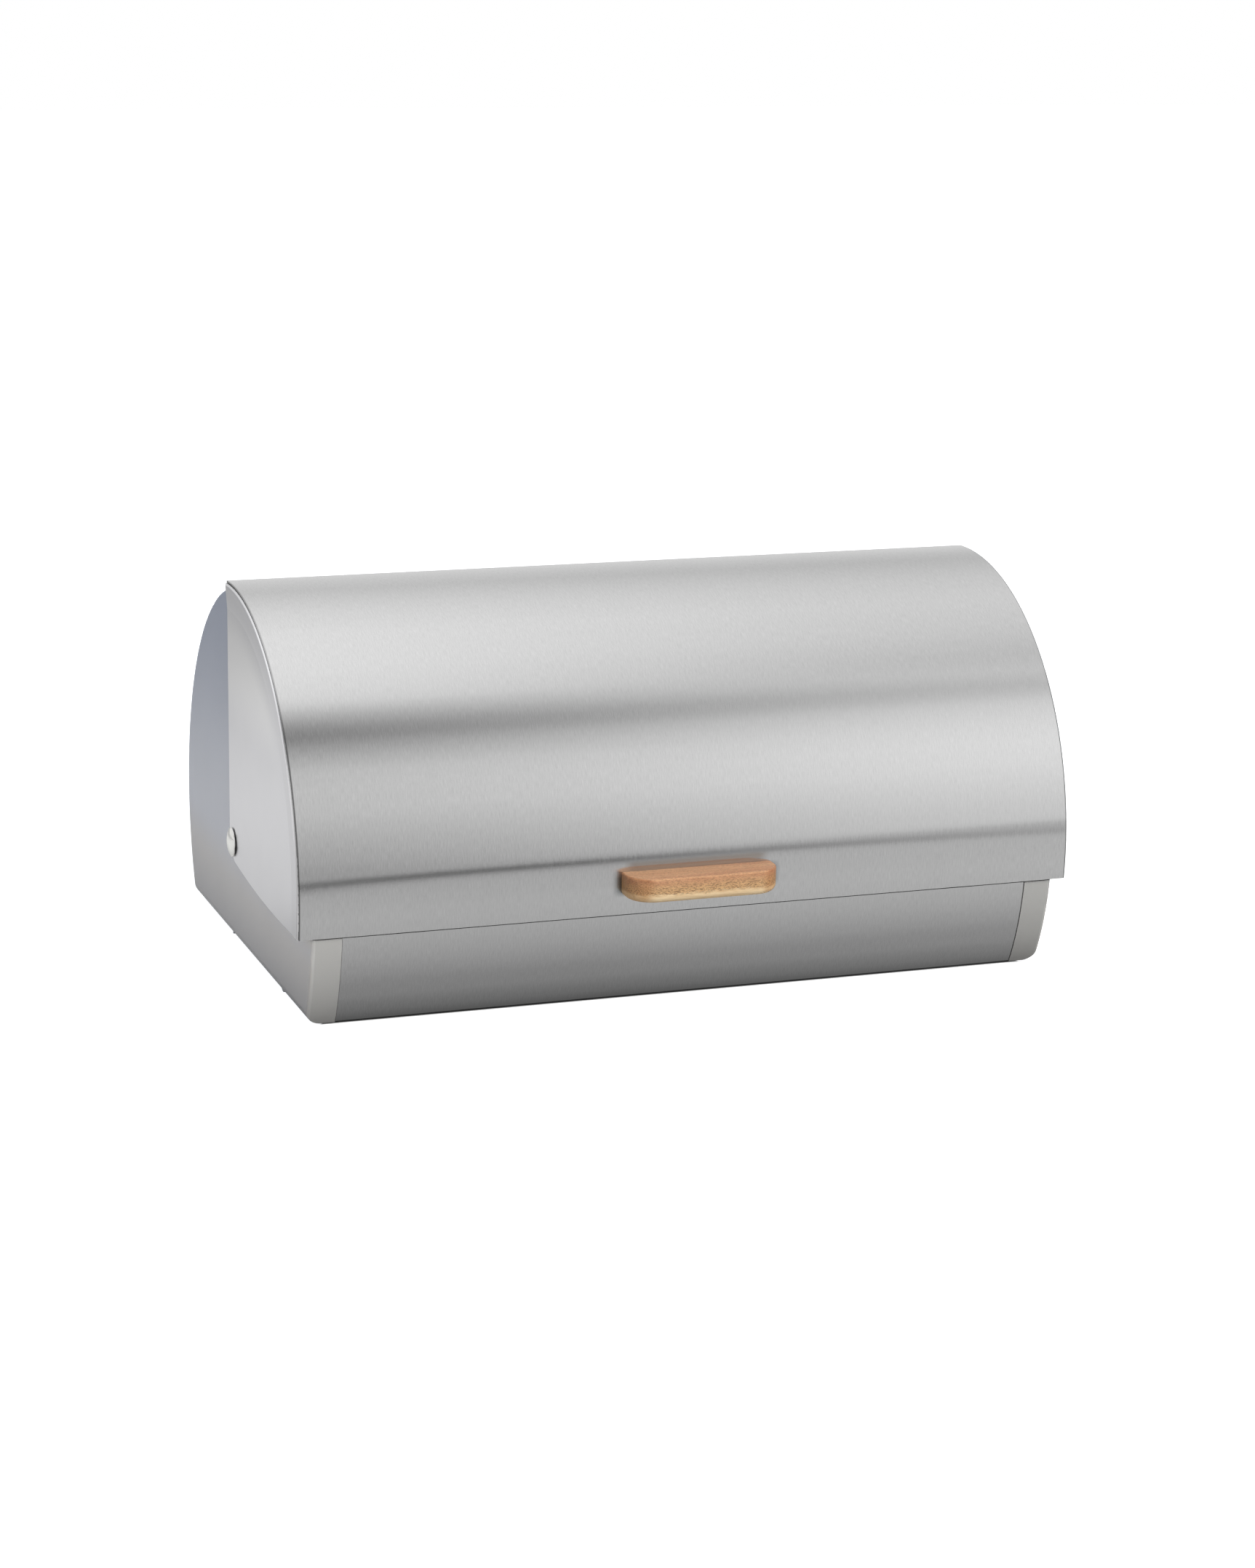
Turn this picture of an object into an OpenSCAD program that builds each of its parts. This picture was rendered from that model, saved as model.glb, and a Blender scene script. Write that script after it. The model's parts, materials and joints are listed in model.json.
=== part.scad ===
// Bread box with a roll top: a drum of bent steel sheet between two moulded end caps, with a
// quarter-round lid that turns on two rivets and rolls back over the rear of the body.
// Millimetres. +Z is up, the front faces -Y and X runs along the box. The origin is on the
// table under the middle of the box.
//
// Most pieces are drawn about the hinge axis. Angles are measured there from straight up
// towards the front. A flat outline is drawn as (forward, up).

/* [Overall] */
// Width over the lid
lid_w = 391; // [300:1:460]
// Radius of the lid, outside
lid_r = 129.5; // [110:0.5:150]
// Height of the hinge axis above the table
hinge_height = 60; // [45:0.5:75]
// Gap between an end cap and the lid's cheek beside it
cheek_gap = 5.5; // [3:0.1:9]
// Setback of the front panel's face from the lid's
front_step = 0.9; // [0.3:0.1:2]
// Setback of the rear, which the lid rolls over, from the lid's face
rear_step = 4.7; // [4:0.1:8]
// Thickness of the steel sheets
sheet_t = 0.7; // [0.5:0.1:1]

/* [Body] */
// Radius of the bends between the floor and the front and rear
corner_r = 5; // [3:0.5:10]
// Height of the body sheet's floor above the bottom of the end caps
floor_lift = 0.6; // [0.3:0.1:1.5]
// Open seam that the body sheet leaves at the right end cap
sheet_play = 0.6; // [0.1:0.1:1]
// Height of the upright lip behind the lid's lower edge
lip_h = 9; // [5:0.5:16]
// Angle at which the rear ends, in front of straight up
rear_end = 4; // [2:0.5:10]
// Play beside the handle screws in the notch of the rear stop flange
notch_play = 13; // [8:1:30]
// Number of vent holes in the rear
vent_n = 9; // [3:1:15]
// Radius of a vent hole
vent_r = 2.5; // [1.5:0.5:4]
// Pitch of the vent holes
vent_pitch = 18; // [12:1:24]
// Angle of the vent row behind straight up
vent_angle = 50; // [35:1:65]

/* [End caps] */
// Width of the rim that shows beside the front panel
rim_w = 14.5; // [10:0.5:24]
// Wall of the end cap
cap_wall = 2.5; // [2:0.1:4]
// Depth of the ledge under the body sheet
ledge_w = 10; // [8:0.5:16]
// Rounding of the upright outer edge
cap_edge_r = 2; // [0.5:0.5:4]
// Rounding of the lower outer edge
cap_foot_r = 7.5; // [2:0.5:8]
// Play between the body sheet and the caps
seat_gap = 0.15; // [0.05:0.05:0.4]
// Radius of the boss round the pivot
boss_r = 9; // [7.5:0.5:14]
// Length of that boss behind the wall
boss_l = 3; // [2:0.5:8]
// Length of the screw bosses behind the ledge
screw_boss_l = 6; // [4:0.5:10]
// Radius of the screw bosses
screw_boss_r = 3.6; // [3:0.1:5]
// Thickness of the ribs inside the wall
rib_t = 1.6; // [1:0.1:2.5]
// Height of the ribs
rib_h = 4; // [2:0.5:8]

/* [Lid] */
// Angle of the lid's rear edge behind straight up
lid_rear = 3.4; // [1:0.1:8]
// Angle of the lid's lower edge in front of straight up
lid_front = 95.9; // [92:0.1:100]
// Depth of the folded hem on the rear edge
hem_w = 8; // [5:0.5:12]
// Play between the flange along the lower edge and the rear that it rolls over
return_play = 0.8; // [0.5:0.1:1.5]
// Gap between the lid's lower edge and the front panel
lid_gap = 0.8; // [0.5:0.1:1.5]
// How far the lid sheet's ends stand back from the cheeks' rims
sheet_back = 0.7; // [0.3:0.1:1.2]
// How far a cheek's rim stands out from its flat plate
flare = 0.9; // [0.3:0.1:1.5]
// Width of the slope between the plate and the rim
flare_w = 12; // [6:1:30]
// Width of a cheek's flange
flange_w = 10; // [6:0.5:16]
// Outer radius of a cheek's bend
bend_r = 1.4; // [1:0.1:3]
// Play between a cheek's flange and the lid sheet
weld_gap = 0.05; // [0.02:0.01:0.2]
// Distance of a cheek's rear edge behind the hinge axis
cheek_back = 6; // [4.5:0.5:10]
// How far a cheek's corner round the pivot bulges past that edge
cheek_round = 0.5; // [0.3:0.1:1.5]
// Depth of a cheek's lower edge below the hinge axis
cheek_drop = 9; // [7:0.5:13]
// Bow of a cheek's lower edge
cheek_bow = 2.7; // [1:0.1:5]

/* [Pivots] */
// Radius of the rivet's shank
pin_r = 3; // [2:0.1:4]
// Radius of the rivet's head
head_r = 7.3; // [6:0.1:9]
// Height of the head's dome
dome_h = 1.9; // [1:0.1:4]
// Straight edge under the dome
head_edge = 0.4; // [0.2:0.1:1.5]
// Height of the narrower neck under the head's rim
neck_h = 0.4; // [0.2:0.1:1]
// How far the head's rim reaches over its neck
neck_in = 1; // [0.5:0.1:1.5]
// Radius of the rivet's closed tail
tail_r = 4.6; // [4:0.1:6]
// Height of the tail
tail_h = 1.4; // [1:0.1:3]
// Running clearance round the shank
run_gap = 0.05; // [0.02:0.01:0.1]
// Clearance beside the cheek
side_gap = 0.15; // [0.05:0.05:0.4]
// Radius of the spacer bush
bush_r = 8; // [6:0.5:12]
// Radius of its spigot
spigot_r = 5; // [4.2:0.1:6]
// Radius of the backing washer
washer_r = 7.5; // [6:0.5:9]
// Thickness of the backing washer
washer_t = 1; // [0.5:0.1:2]

/* [Handle] */
// Length of the wooden block
handle_l = 76; // [60:1:120]
// Height of the block
handle_h = 12; // [9:0.5:18]
// Reach of the block in front of the lid
handle_reach = 16.8; // [14:0.1:26]
// Height of the block's middle above the hinge axis
handle_rise = 1.7; // [0:0.1:6]
// Rounding of the front corners in plan
handle_corner_r = 13; // [6:0.5:15]
// Rounding of the block's lower edge
handle_low_r = 3.5; // [1:0.25:4]
// Rounding of its upper edge
handle_top_r = 0.8; // [0.4:0.1:2]
// Distance between the two handle screws
handle_screw_x = 44; // [30:1:50]
// Radius of a handle screw
handle_screw_r = 1.9; // [1.5:0.1:2.4]
// Depth of the screws in the wood
handle_screw_l = 11; // [8:0.5:13]
// Radius of a handle washer
handle_washer_r = 4.5; // [4.2:0.1:6]
// Thickness of a handle washer
handle_washer_t = 0.6; // [0.4:0.1:1]

/* [Screws] */
// Radius of a pan head
pan_r = 3.4; // [3:0.1:4]
// Height of a pan head
pan_h = 1.8; // [1:0.1:2.2]
// Radius of the drive recess
drive_r = 1.4; // [1:0.1:2]
// Depth of the drive recess
drive_d = 0.9; // [0.5:0.1:1.2]
// Radius of the screws that hold the body sheet
case_screw_r = 1.6; // [1.2:0.1:2]
// Depth of those screws behind the sheet
case_screw_l = 6; // [4:0.5:8]
// Height of their low heads
low_head_h = 1.1; // [0.8:0.1:1.4]
// Radial play round every screw
screw_gap = 0.05; // [0.02:0.01:0.2]
// Distance from a floor screw to the end of the flat floor
floor_screw_inset = 37; // [20:1:60]
// Angle of the upper rear screws behind straight up
rear_screw_high = 32; // [15:1:45]
// Distance along the arc from a lower rear screw to the bend into the floor
rear_screw_inset = 15; // [8:1:40]

/* [Feet and buffers] */
// Radius of a rubber foot
foot_r = 4; // [3.5:0.5:6]
// Distance from a foot to the inner edge of the cap's rim
foot_edge = 1.2; // [1:0.1:2]
// Stand of the feet below the end caps
foot_stand = 1.2; // [1:0.1:3]
// Depth of the foot's socket in the cap
foot_socket = 1.6; // [1:0.1:2]
// Distance from a foot's middle to the end of the flat floor
foot_inset = 15; // [8:1:40]
// Length of a buffer pad
pad_l = 12; // [8:0.5:30]
// Thickness of a buffer pad
pad_t = 0.5; // [0.3:0.1:0.7]
// Distance from a pad's middle to the side edge of the front panel
pad_inset = 34; // [28:1:60]

/* [Hidden] */

// Smoothness of round forms, and of the rounded wooden block
$fn = 96;
block_fn = 40;
// Overshoot of cutting shapes, as a length and as an angle
over = 1;
spare_a = 2;
// Allowance by which the shapes that round an edge clear the faces beside it
slack = 0.02;
// A length longer than anything in the box
far = 2 * lid_r;

// Radii of the front panel and of the rear
front_r = lid_r - front_step;
rear_r = lid_r - rear_step;

// Places along the hinge axis
rim_x = lid_w / 2;
cap_x = rim_x - flare - sheet_t - cheek_gap;
seam_x = cap_x - rim_w;
ledge_x = seam_x - ledge_w;
screw_x = ledge_x + ledge_w / 2;
ledge_in = sheet_t + seat_gap;
cheek_x = rim_x - flare;
cheek_inner_x = cheek_x - sheet_t;
foot_x = seam_x + foot_edge + foot_r;
pad_x = seam_x - pad_inset;
notch_x = handle_screw_x / 2 + notch_play;

// The ribs start clear of the backing washer
rib_start = max(washer_r, tail_r) + over / 2;
// Directions of the ribs round the pivot boss
rib_angles = [-150, -110, -70, -30, 10, 50, 90, 130];

// The lid's hem and lower flange stop short of the cheeks' flanges
hem_x = rim_x - flange_w - 1;
lid_end_x = rim_x - sheet_back;

// Levels, below the hinge axis
cap_floor = foot_stand - hinge_height;
sheet_floor = cap_floor + floor_lift;
// How far the flat floor runs to the rear
floor_u = sqrt(pow(rear_r - corner_r, 2) - pow(cap_floor + corner_r, 2));
foot_y = floor_u - foot_inset;
floor_screw_y = floor_u - floor_screw_inset;

// The hinge axis lies off the middle, because the handle reaches further than the rear
handle_u = lid_r + handle_reach;
hinge_y = (handle_u - rear_r) / 2;

// Angle that a length along an arc takes up
function arc_deg(len, r) = len / r * 180 / PI;
// Point at a radius and an angle from straight up towards the front
function polar(r, a) = [r * sin(a), r * cos(a)];

shelf_a = lid_front + arc_deg(lid_gap, front_r);
lip_a = shelf_a - arc_deg(lip_h, rear_r);
// Angle of the lower rear screws behind straight up
rear_screw_low = 90 + atan2(-cap_floor - corner_r, floor_u) - arc_deg(rear_screw_inset, rear_r);
lid_in_r = lid_r - sheet_t;
return_r = rear_r + return_play;
// The handle's washers lie against the inside of the lid sheet
washer_u = sqrt(pow(lid_in_r, 2) - pow(handle_rise + handle_washer_r, 2));
flange_r = lid_in_r - weld_gap;
cheek_plate_r = flange_r - bend_r;
hem_a = arc_deg(hem_w + over, lid_r) - lid_rear;
return_a = lid_front - arc_deg(sheet_t + over, lid_r);
stop_r = (lid_in_r - sheet_t + return_r) / 2;

// ---- Helpers ----

// Puts what is drawn about the hinge axis in its place on the box
module at_hinge() {
    translate([0, hinge_y, hinge_height])
        children();
}

// Extrudes a (forward, up) outline along X from x0 to x1
module slab(x0, x1) {
    translate([x1, 0, 0])
        rotate([90, 0, -90])
            linear_extrude(x1 - x0)
                children();
}

// Turns a (radius, x) profile all the way round the hinge axis
module revolve() {
    rotate([0, 90, 0])
        rotate_extrude()
            children();
}

// The part of such a turned shape that lies between the angles a0 and a1
module sweep(a0, a1) {
    intersection() {
        revolve()
            children();
        slab(-far, far)
            wedge(a0, a1);
    }
}

// Puts a piece drawn along +Z on a radius of the drum, pointing outwards, at an angle a
module on_radius(a, r, x) {
    rotate([a, 0, 0])
        translate([x, 0, r])
            children();
}

// Draws a right-hand piece on the left as well, or on the left alone
module mirrored(side) {
    mirror([side < 0 ? 1 : 0, 0, 0])
        children();
}

// Wedge outline between two angles, reaching past every radius
module wedge(a0, a1) {
    mid = (a0 + a1) / 2;
    polygon([[0, 0], polar(2 * far, a0), polar(2 * far, mid), polar(2 * far, a1)]);
}

// Rounds the corner where an arc of radius r meets the flat at level v
// dir is 1 at the front and -1 at the rear
module soft_corner(r, v, round_r, dir) {
    c_v = v + round_r;
    c_u = sqrt(pow(r - round_r, 2) - c_v * c_v);
    corner = [
        [dir * c_u, c_v],
        [dir * c_u, v - over],
        [dir * far, v - over],
        [dir * far, c_v * far / c_u]
    ];
    difference() {
        children();
        polygon(corner);
    }
    intersection() {
        translate([dir * c_u, c_v])
            circle(round_r);
        polygon(corner);
    }
}

// Quarter of a disc, in the corner where both coordinates are positive
module quarter(r) {
    intersection() {
        circle(r);
        square(2 * r);
    }
}

// Outline of the drum, drawn in by a margin on every side
module drum(margin, v) {
    step_a = shelf_a + arc_deg(margin, front_r);
    round_r = max(corner_r - margin, over / 2);
    soft_corner(front_r - margin, v + margin, round_r, 1)
        soft_corner(rear_r - margin, v + margin, round_r, -1)
            difference() {
                union() {
                    circle(rear_r - margin, $fn = 180);
                    intersection() {
                        circle(front_r - margin, $fn = 180);
                        wedge(step_a, 180);
                    }
                }
                translate([-far, v + margin - 2 * far])
                    square([2 * far, 2 * far]);
            }
}

// Pan-head screw: the head's seat at z = 0, the shank running down
module screw(head_r, head_h, shank_r, shank_l) {
    difference() {
        union() {
            rotate_extrude()
                difference() {
                    square([head_r, head_h]);
                    translate([head_r - head_h / 2, head_h / 2])
                        square([head_h, head_h]);
                }
            translate([0, 0, head_h / 2])
                cylinder(h = head_h / 2, r = head_r - head_h / 2);
            translate([0, 0, -shank_l])
                cylinder(h = shank_l + over / 4, r = shank_r);
        }
        translate([0, 0, head_h - drive_d])
            for (turn = [0, 90])
                rotate([0, 0, turn])
                    translate([-drive_r, -drive_r / 4, 0])
                        cube([2 * drive_r, drive_r / 2, drive_d + over]);
    }
}

// ---- Body ----

// Screws that hold the body sheet, drawn outwards from the sheet's outer face on one side
module at_floor_screws() {
    for (y = [-floor_screw_y, floor_screw_y])
        translate([screw_x, y, sheet_floor])
            mirror([0, 0, 1])
                children();
}

module at_rear_screws() {
    for (a = [rear_screw_high, rear_screw_low])
        on_radius(-a, rear_r, screw_x)
            children();
}

module body_sheet() {
    color("lightgray")
        at_hinge()
            difference() {
                union() {
                    slab(seat_gap - seam_x, seam_x - sheet_play)
                        difference() {
                            drum(0, sheet_floor);
                            drum(sheet_t, sheet_floor);
                            wedge(rear_end, lip_a);
                        }
                    for (side = [-1, 1])
                        mirrored(side)
                            sweep(rear_end - arc_deg(sheet_t, rear_r), rear_end)
                                translate([rear_r - sheet_t, notch_x])
                                    square([stop_r - rear_r + sheet_t, ledge_x - notch_x]);
                }
                for (side = [-1, 1])
                    mirrored(side) {
                        at_floor_screws()
                            translate([0, 0, -sheet_t - over])
                                cylinder(h = sheet_t + 2 * over, r = case_screw_r + screw_gap);
                        at_rear_screws()
                            translate([0, 0, -sheet_t - over])
                                cylinder(h = sheet_t + 2 * over, r = case_screw_r + screw_gap);
                    }
                for (i = [0:vent_n - 1])
                    on_radius(-vent_angle, rear_r - sheet_t - over, (i - (vent_n - 1) / 2) * vent_pitch)
                        cylinder(h = sheet_t + 2 * over, r = vent_r);
            }
}

// Outer form of the right cap: its rounded side edge and its rounded lower edge
module cap_form() {
    round_x = cap_x - cap_foot_r + slack;
    round_v = cap_floor + cap_foot_r - slack;
    intersection() {
        union() {
            revolve()
                cap_section(0, rear_r);
            sweep(shelf_a - spare_a, 180)
                cap_section(rear_r - cap_edge_r - over, front_r);
        }
        rotate([90, 0, 0])
            translate([0, 0, -far])
                linear_extrude(2 * far)
                    union() {
                        translate([0, round_v])
                            square([round_x + cap_foot_r, 2 * far]);
                        translate([0, round_v - cap_foot_r])
                            square([round_x, cap_foot_r]);
                        translate([round_x, round_v])
                            mirror([0, 1])
                                quarter(cap_foot_r);
                    }
    }
}

// Section of the ring that trims the cap's wall to a rounded outer edge at radius r
module cap_section(in_r, r) {
    edge_x = cap_x - cap_edge_r + slack;
    edge_u = r - cap_edge_r + slack;
    translate([in_r, ledge_x - over])
        square([edge_u + cap_edge_r - in_r, edge_x - ledge_x + over]);
    translate([in_r, edge_x])
        square([edge_u - in_r, cap_edge_r]);
    translate([edge_u, edge_x])
        quarter(cap_edge_r);
}

module end_cap(side) {
    color([0.66, 0.67, 0.68])
        at_hinge()
            mirrored(side)
                difference() {
                    union() {
                        intersection() {
                            cap_form();
                            cap_shell();
                        }
                        cap_inside();
                    }
                    rotate([0, 90, 0])
                        cylinder(h = far, r = spigot_r + run_gap);
                    at_feet()
                        cylinder(h = foot_socket + over, r = foot_r + run_gap);
                    at_floor_screws()
                        case_screw_hole();
                    at_rear_screws()
                        case_screw_hole();
                }
}

// Wall, rim and ledge of the right cap, before its edges are rounded
module cap_shell() {
    difference() {
        union() {
            slab(seam_x, cap_x)
                drum(0, cap_floor);
            slab(ledge_x, seam_x + over)
                difference() {
                    drum(ledge_in, sheet_floor);
                    wedge(rear_end, lip_a);
                }
        }
        slab(ledge_x - over, cap_x - cap_wall)
            drum(ledge_in + cap_wall - sheet_t, sheet_floor);
    }
}

// Ribs, pivot boss, screw bosses and foot sockets behind the right cap's wall
module cap_inside() {
    wall_x = cap_x - cap_wall;
    translate([wall_x - boss_l, 0, 0])
        rotate([0, 90, 0])
            cylinder(h = boss_l + over, r = boss_r);
    intersection() {
        slab(ledge_x, wall_x + over)
            drum(ledge_in + over / 2, sheet_floor);
        union() {
            translate([wall_x - rib_h, 0, 0])
                rotate([0, 90, 0])
                    for (a = rib_angles)
                        rotate([0, 0, a + 180])
                            translate([rib_start, -rib_t / 2, 0])
                                cube([far, rib_t, rib_h + over]);
            at_feet()
                translate([0, 0, -cap_wall])
                    cylinder(h = 2 * cap_wall, r = foot_r + cap_wall);
            at_floor_screws()
                translate([0, 0, -screw_boss_l])
                    cylinder(h = screw_boss_l, r = screw_boss_r);
            at_rear_screws()
                translate([0, 0, -screw_boss_l])
                    cylinder(h = screw_boss_l, r = screw_boss_r);
        }
    }
}

// Pilot hole for a screw that holds the body sheet
module case_screw_hole() {
    translate([0, 0, -case_screw_l - sheet_t])
        cylinder(h = 2 * case_screw_l, r = case_screw_r + screw_gap);
}

// Feet under one cap, drawn downwards from the bottom of their sockets
module at_feet() {
    for (y = [-foot_y, foot_y])
        translate([foot_x, y, cap_floor + foot_socket])
            mirror([0, 0, 1])
                children();
}

// Screws of the body sheet, on both sides; their heads lie on the sheet's outer face
module floor_screws() {
    color("silver")
        at_hinge()
            for (side = [-1, 1])
                mirrored(side)
                    at_floor_screws()
                        screw(pan_r, low_head_h, case_screw_r, case_screw_l);
}

module rear_screws() {
    color("silver")
        at_hinge()
            for (side = [-1, 1])
                mirrored(side)
                    at_rear_screws()
                        screw(pan_r, low_head_h, case_screw_r, case_screw_l);
}

// Rubber foot, its socket end upwards
module foot(side, end) {
    color([0.25, 0.25, 0.26])
        at_hinge()
            mirrored(side)
                translate([foot_x, end * foot_y, -hinge_height])
                    rotate_extrude()
                        union() {
                            square([foot_r - foot_stand / 2, foot_stand / 2]);
                            translate([0, foot_stand / 2])
                                square([foot_r, foot_stand / 2 + foot_socket]);
                        }
}

// Thin rubber pad on a face of the sheet that lies along a radius
module pad(side, a, r0, r1) {
    color([0.2, 0.2, 0.21])
        at_hinge()
            mirrored(side)
                sweep(a - arc_deg(pad_t, r0), a)
                    translate([r0, pad_x - pad_l / 2])
                        square([r1 - r0, pad_l]);
}

// ---- Pivots ----

// Draws a turned piece along the hinge axis on one side, from a profile of (radius, x)
module turned(side) {
    at_hinge()
        mirrored(side)
            revolve()
                children();
}

module pivot_rivet(side) {
    head_x = cheek_x + side_gap;
    rim_x = head_x + neck_h;
    tail_x = cap_x - cap_wall - boss_l - washer_t;
    dome_r = (head_r * head_r + dome_h * dome_h) / (2 * dome_h);
    color("silver")
        turned(side)
            union() {
                translate([0, tail_x - tail_h])
                    square([pin_r, head_x - tail_x + tail_h + over / 2]);
                translate([0, tail_x - tail_h])
                    square([tail_r, tail_h]);
                translate([0, head_x])
                    square([head_r - neck_in, neck_h + head_edge / 2]);
                translate([0, rim_x])
                    square([head_r, head_edge]);
                intersection() {
                    translate([0, rim_x + head_edge + dome_h - dome_r])
                        circle(dome_r, $fn = 180);
                    translate([0, rim_x + head_edge / 2])
                        square([head_r, dome_h + head_edge]);
                }
            }
}

// Flanged nylon bush: its spigot in the cap's bore, its flange between cap and cheek
module spacer_bush(side) {
    color("ivory")
        turned(side)
            union() {
                translate([pin_r + run_gap, cap_x - cap_wall - boss_l])
                    square([spigot_r - pin_r - run_gap, cap_wall + boss_l + over / 2]);
                translate([pin_r + run_gap, cap_x])
                    square([bush_r - pin_r - run_gap, cheek_inner_x - side_gap - cap_x]);
            }
}

module backing_washer(side) {
    color("silver")
        turned(side)
            translate([pin_r + run_gap, cap_x - cap_wall - boss_l - washer_t])
                square([washer_r - pin_r - run_gap, washer_t]);
}

// ---- Lid ----

module lid_sheet() {
    flange_a = arc_deg(sheet_t, lid_r);
    color("gainsboro")
        at_hinge()
            difference() {
                union() {
                    sweep(-lid_rear, lid_front)
                        translate([lid_in_r, -lid_end_x])
                            square([sheet_t, 2 * lid_end_x]);
                    sweep(-lid_rear, arc_deg(hem_w, lid_r) - lid_rear)
                        translate([lid_in_r - sheet_t, -hem_x])
                            square([1.5 * sheet_t, 2 * hem_x]);
                    sweep(lid_front - flange_a, lid_front)
                        translate([return_r, -hem_x])
                            square([lid_r - return_r - sheet_t / 2, 2 * hem_x]);
                }
                at_handle_screws()
                    translate([0, 0, -far / 2])
                        cylinder(h = far, r = handle_screw_r + screw_gap);
            }
}

// Points of a cheek's lower edge: a shallow arc from the lid's corner back to the pivot
function cheek_edge() =
    let (
        front = polar(lid_r, lid_front),
        back = [cheek_back / 2, -cheek_drop],
        steps = 16
    )
    [for (i = [0:steps])
        let (t = i / steps)
        front + (back - front) * t - [0, 4 * cheek_bow * t * (1 - t)]
    ];

module cheek(side) {
    relief_x = rim_x - bend_r - over / 2;
    color([0.8, 0.8, 0.82])
        at_hinge()
            mirrored(side)
                difference() {
                    union() {
                        intersection() {
                            revolve()
                                cheek_section();
                            slab(0, far)
                                cheek_outline();
                        }
                        slab(cheek_inner_x, cheek_x)
                            circle(cheek_back + cheek_round);
                    }
                    // Reliefs for the lid sheet's hem and lower flange
                    for (ends = [[-lid_rear - over, hem_a], [return_a, lid_front + over]])
                        slab(relief_x - flange_w, relief_x)
                            difference() {
                                wedge(ends[0], ends[1]);
                                circle(cheek_plate_r);
                            }
                    rotate([0, 90, 0])
                        cylinder(h = far, r = pin_r + run_gap);
                }
}

// Outline of a cheek, whose flange ends with the lid sheet, without the corner round the pivot
module cheek_outline() {
    polygon(concat(
        [[-cheek_back, 0], polar(lid_r, -lid_rear), polar(far, -lid_rear)],
        [polar(2 * far, 45), polar(far, lid_front)],
        cheek_edge()
    ));
}

// Section of a cheek: flat plate, slope out to the rim, bend and flange
module cheek_section() {
    flare_r = cheek_plate_r - flare_w;
    polygon([
        [0, cheek_inner_x], [flare_r, cheek_inner_x], [cheek_plate_r, rim_x - sheet_t],
        [cheek_plate_r, rim_x], [flare_r, cheek_x], [0, cheek_x]
    ]);
    translate([cheek_plate_r, rim_x - bend_r])
        difference() {
            quarter(bend_r);
            circle(bend_r - sheet_t);
        }
    translate([flange_r - sheet_t, rim_x - flange_w])
        square([sheet_t, flange_w - bend_r]);
}

// Places of the handle screws: along the shank, outwards, from where the washers lie
module at_handle_screws() {
    for (x = [-handle_screw_x / 2, handle_screw_x / 2])
        translate([x, 0, handle_rise])
            rotate([90, 0, 0])
                children();
}

// Wooden block with rounded edges, its back cut to the lid
module handle() {
    color([0.78, 0.56, 0.36])
        at_hinge()
            difference() {
                translate([0, 0, handle_rise - handle_h / 2])
                    hull()
                        for (side = [-1, 1])
                            mirrored(side) {
                                block_corner(handle_u - handle_corner_r);
                                block_corner(lid_in_r - handle_corner_r);
                            }
                rotate([0, 90, 0])
                    cylinder(h = far, r = lid_r, center = true, $fn = 180);
                at_handle_screws()
                    cylinder(h = lid_r + handle_screw_l + over, r = handle_screw_r + screw_gap);
            }
}

// Upright round corner of the block with rounded rims, as parts of one hull
module block_corner(u) {
    translate([handle_l / 2 - handle_corner_r, -u, 0])
        rotate_extrude($fn = block_fn)
            union() {
                square([handle_corner_r - handle_low_r, handle_h / 2]);
                square([handle_corner_r - handle_top_r, handle_h]);
                translate([0, handle_low_r])
                    square([handle_corner_r, handle_h - handle_low_r - handle_top_r]);
                translate([handle_corner_r - handle_low_r, handle_low_r])
                    circle(handle_low_r, $fn = block_fn);
                translate([handle_corner_r - handle_top_r, handle_h - handle_top_r])
                    circle(handle_top_r, $fn = block_fn);
            }
}

module handle_screws() {
    color("silver")
        at_hinge()
            at_handle_screws()
                translate([0, 0, washer_u - handle_washer_t])
                    mirror([0, 0, 1])
                        screw(pan_r, pan_h, handle_screw_r, handle_washer_t + lid_r - washer_u + handle_screw_l);
}

module handle_washers() {
    color("silver")
        at_hinge()
            at_handle_screws()
                translate([0, 0, washer_u - handle_washer_t])
                    difference() {
                        cylinder(h = handle_washer_t, r = handle_washer_r);
                        translate([0, 0, -over])
                            cylinder(h = handle_washer_t + 2 * over, r = handle_screw_r + screw_gap);
                    }
}

body_sheet();
end_cap(-1);  // left_end_cap
end_cap(1);  // right_end_cap
pivot_rivet(-1);  // left_pivot_rivet
pivot_rivet(1);  // right_pivot_rivet
spacer_bush(-1);  // left_spacer_bush
spacer_bush(1);  // right_spacer_bush
backing_washer(-1);  // left_backing_washer
backing_washer(1);  // right_backing_washer
floor_screws();
rear_screws();
foot(-1, -1);  // front_left_foot
foot(1, -1);  // front_right_foot
foot(-1, 1);  // rear_left_foot
foot(1, 1);  // rear_right_foot
pad(-1, shelf_a, return_r, front_r - over);  // left_closing_buffer
pad(1, shelf_a, return_r, front_r - over);  // right_closing_buffer
pad(-1, rear_end + arc_deg(pad_t, rear_r), rear_r, stop_r);  // left_opening_buffer
pad(1, rear_end + arc_deg(pad_t, rear_r), rear_r, stop_r);  // right_opening_buffer
lid_sheet();
cheek(-1);  // left_cheek
cheek(1);  // right_cheek
handle();
handle_screws();
handle_washers();
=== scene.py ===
# %% [markdown]
# # A roll-top bread box
#
# The box is a drum of bent, brushed steel between two grey moulded end caps. Its lid is a
# quarter of a tube: a curved sheet with a flat steel cheek at each side. The lid turns on two
# rivets, one in each end cap, and rolls back over the rear of the drum. A small block of
# oiled wood is its handle.
#
# The exact solids are already made, so this script dresses them: it gives each one a finish,
# and it builds anew the one piece whose looks need more than the solid holds, the handle.
# Everything is in metres, with the front facing -Y, +Z up and the table at z = 0.

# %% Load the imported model
import json
import math

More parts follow.
